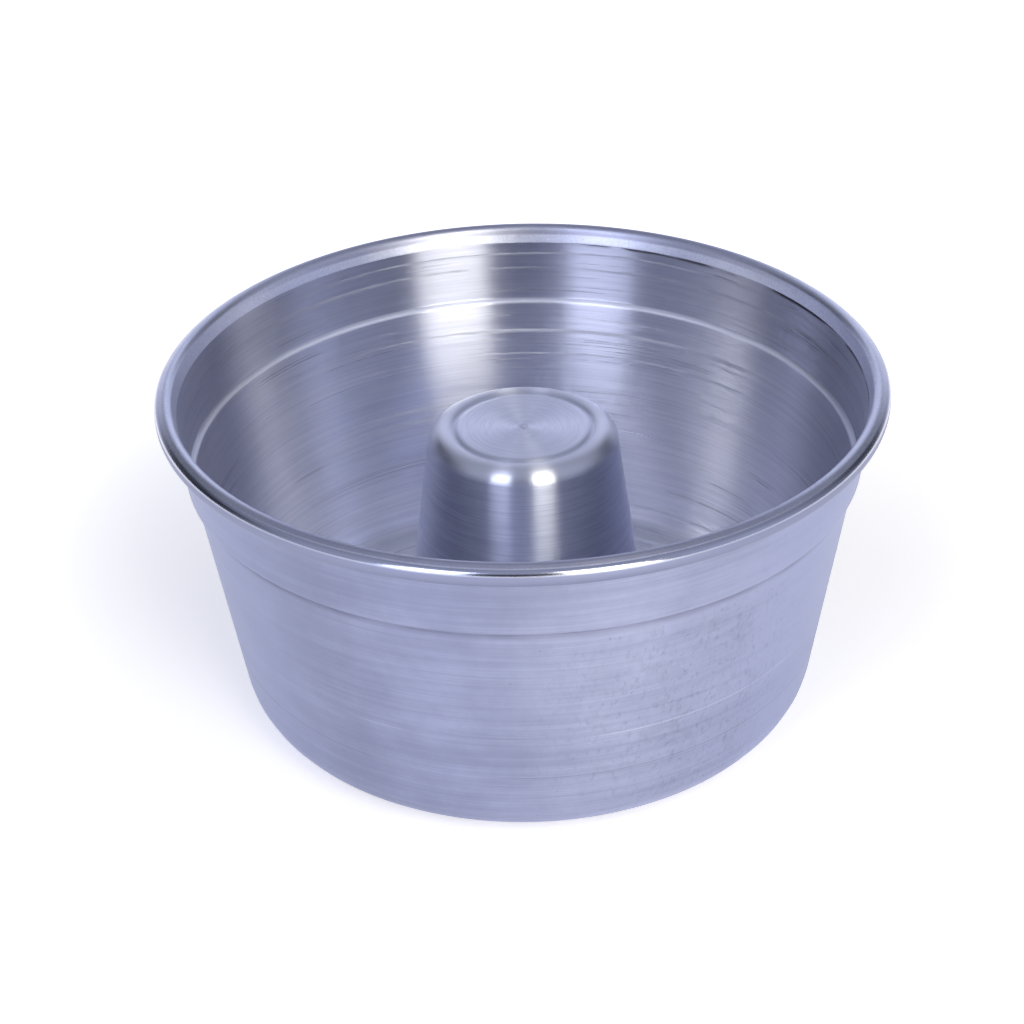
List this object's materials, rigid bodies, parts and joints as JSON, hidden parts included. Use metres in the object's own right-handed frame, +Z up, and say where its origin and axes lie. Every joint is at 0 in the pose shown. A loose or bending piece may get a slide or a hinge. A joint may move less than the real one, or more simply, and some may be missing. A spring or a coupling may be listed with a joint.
{
  "type": "bundt pan",
  "caption": "Smooth-sided round ring cake mould with a rolled rim, a stepped collar, a tapered wall and a closed centre cone.",
  "frame": {"origin": "centre of the base, on the table that the mould stands on", "axes": "+Z up along the axis of the mould and its cone; the mould looks the same from every side, so +X and +Y are free"},
  "size_m": [0.2, 0.2, 0.0983],
  "materials": {
    "shell_aluminium": "brushed round the axis by the lathe, burnished on the rim",
    "cone_aluminium": "fine brushed round the axis by the lathe",
    "rim_wire_steel": "drawn, galvanised, hidden inside the rolled rim"
  },
  "bodies": {
    "root": {"pan_shell": "shell_aluminium", "centre_cone": "cone_aluminium", "rim_wire": "rim_wire_steel"}
  },
  "joints": []
}
